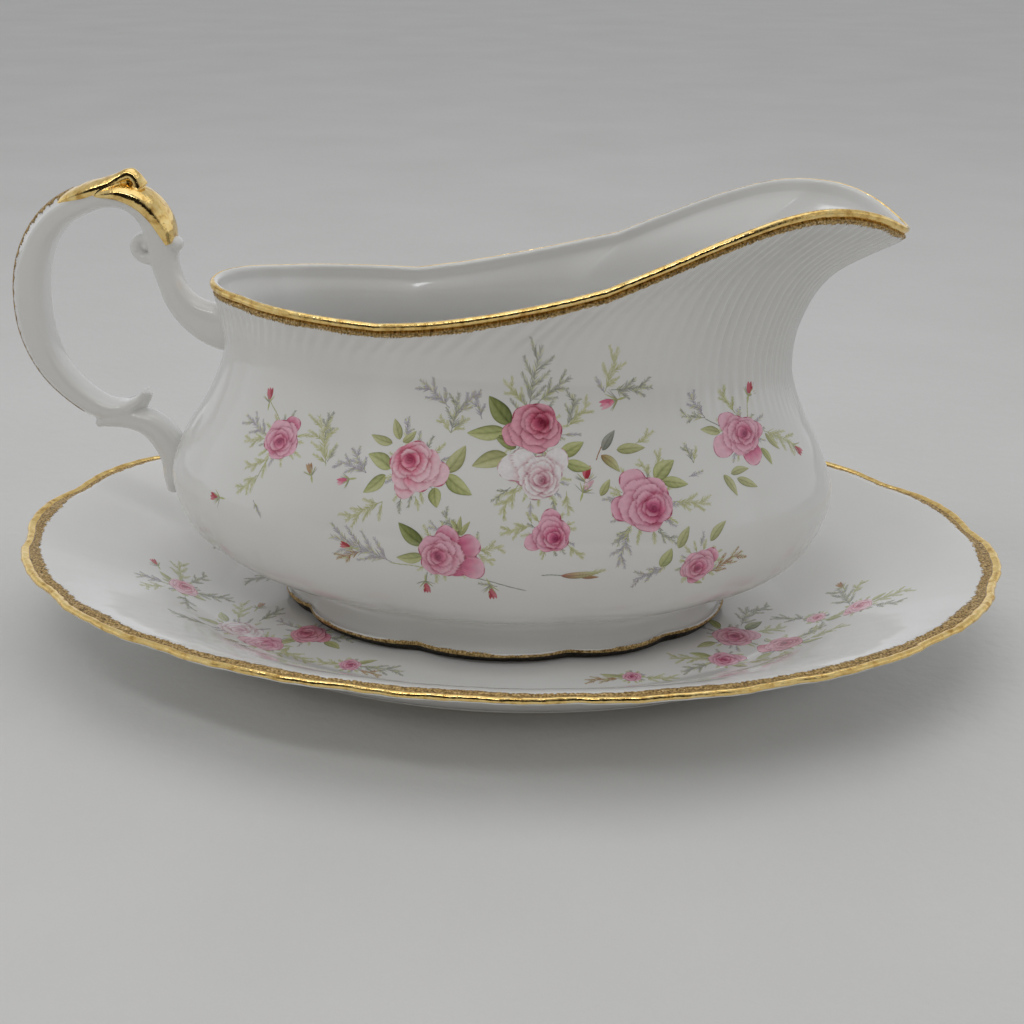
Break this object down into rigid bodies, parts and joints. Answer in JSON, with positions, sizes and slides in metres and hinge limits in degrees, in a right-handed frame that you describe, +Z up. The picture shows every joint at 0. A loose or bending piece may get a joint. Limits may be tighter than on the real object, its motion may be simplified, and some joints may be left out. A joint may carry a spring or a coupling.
{
  "type": "gravy boat with stand",
  "caption": "Footed oval gravy boat with a lobed body, pouring spout and scroll handle, standing loose on a shallow scalloped oval stand.",
  "frame": {"origin": "centre of the stand's foot on the table, which is the bottom centre of the whole", "axes": "+X from the handle to the spout, +Y to the far side, +Z up"},
  "size_m": [0.227, 0.1564, 0.1047],
  "materials": {
    "glazed_china": "clear glossy glaze over white bone china, with printed roses",
    "bare_china": "ground, unglazed foot",
    "gilding": "burnished gilding with a brushed, uneven inner edge"
  },
  "bodies": {
    "stand": {"stand_foot_ring": "bare_china", "stand_dish": "glazed_china", "stand_edge_gilding": "gilding"},
    "boat": {"boat_foot": "glazed_china", "boat_foot_gilding": "gilding", "boat_bowl": "glazed_china", "boat_rim_gilding": "gilding", "handle_scroll": "glazed_china", "handle_lower_scroll": "glazed_china", "handle_finial": "gilding", "handle_crest_gilding": "gilding", "handle_spine_gilding": "gilding"}
  },
  "joints": [
    {"name": "boat_lift", "type": "slide", "parent": "stand", "child": "boat", "axis": [0, 0, 1], "range_m": [0, 0.12]}
  ]
}
